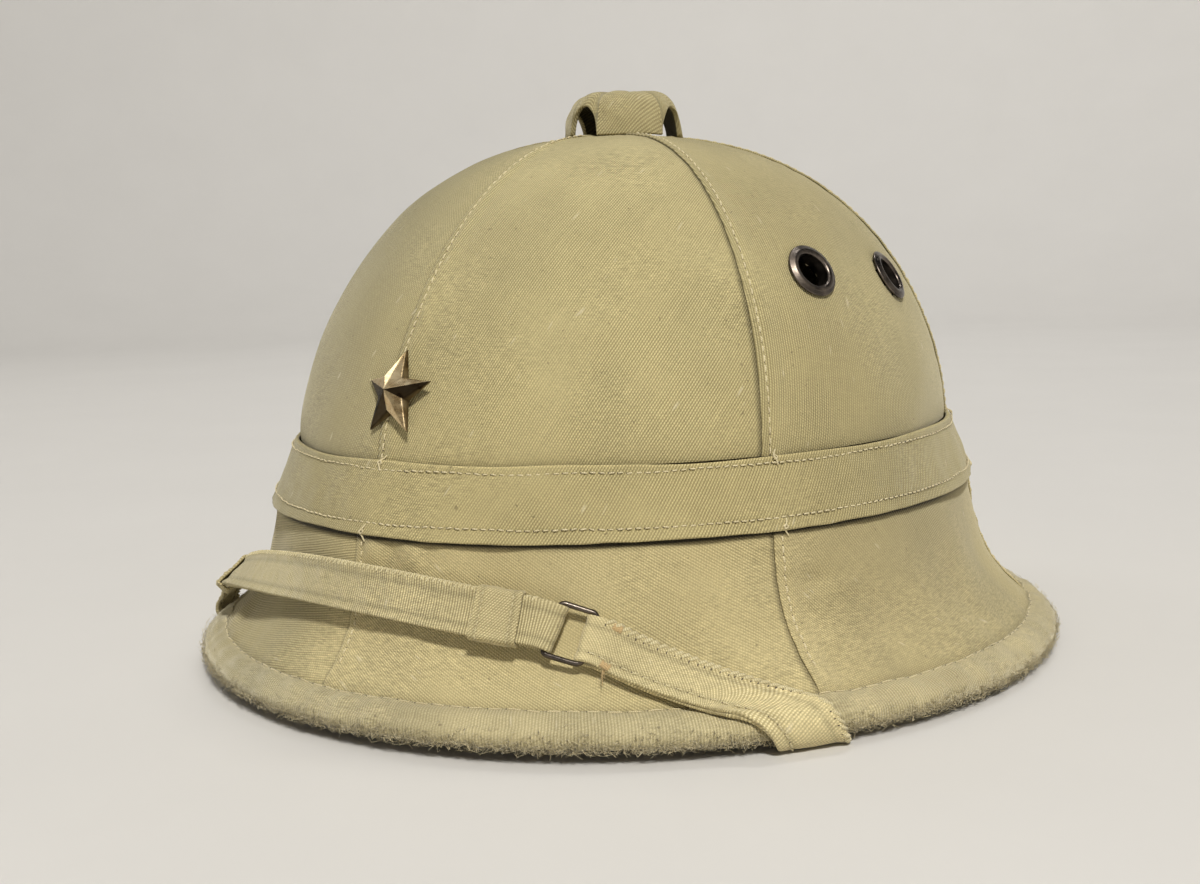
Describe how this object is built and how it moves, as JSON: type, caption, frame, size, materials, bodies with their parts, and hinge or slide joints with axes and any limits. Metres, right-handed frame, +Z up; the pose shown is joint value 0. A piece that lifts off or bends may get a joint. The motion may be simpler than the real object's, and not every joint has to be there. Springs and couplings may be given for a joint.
{
  "type": "pith helmet",
  "caption": "Cloth-covered pith helmet with a flared brim, hatband, domed crown with a ventilator cap, eyelets, a plain star badge and a chin strap laid over the front.",
  "frame": {"origin": "centre of the bottom of the bounding box, on the surface that the helmet rests on", "axes": "+Z up, -Y the way the helmet's front looks, +X the wearer's left"},
  "size_m": [0.2872, 0.3024, 0.1841],
  "materials": {
    "khaki_cloth": "matt cotton twill",
    "strap_cloth": "matt ribbed cotton",
    "gunmetal": "dark polished",
    "copper_bronze": "polished, lightly worn"
  },
  "bodies": {
    "root": {"crown": "khaki_cloth", "brim": "khaki_cloth", "hatband": "khaki_cloth", "vent_cap": "khaki_cloth", "grommet_left_front": "gunmetal", "grommet_left_rear": "gunmetal", "grommet_right_front": "gunmetal", "grommet_right_rear": "gunmetal", "star_badge": "copper_bronze", "strap_long": "strap_cloth", "strap_short": "strap_cloth", "keeper_left": "strap_cloth", "keeper_right": "strap_cloth", "strap_ring": "gunmetal"}
  },
  "joints": []
}
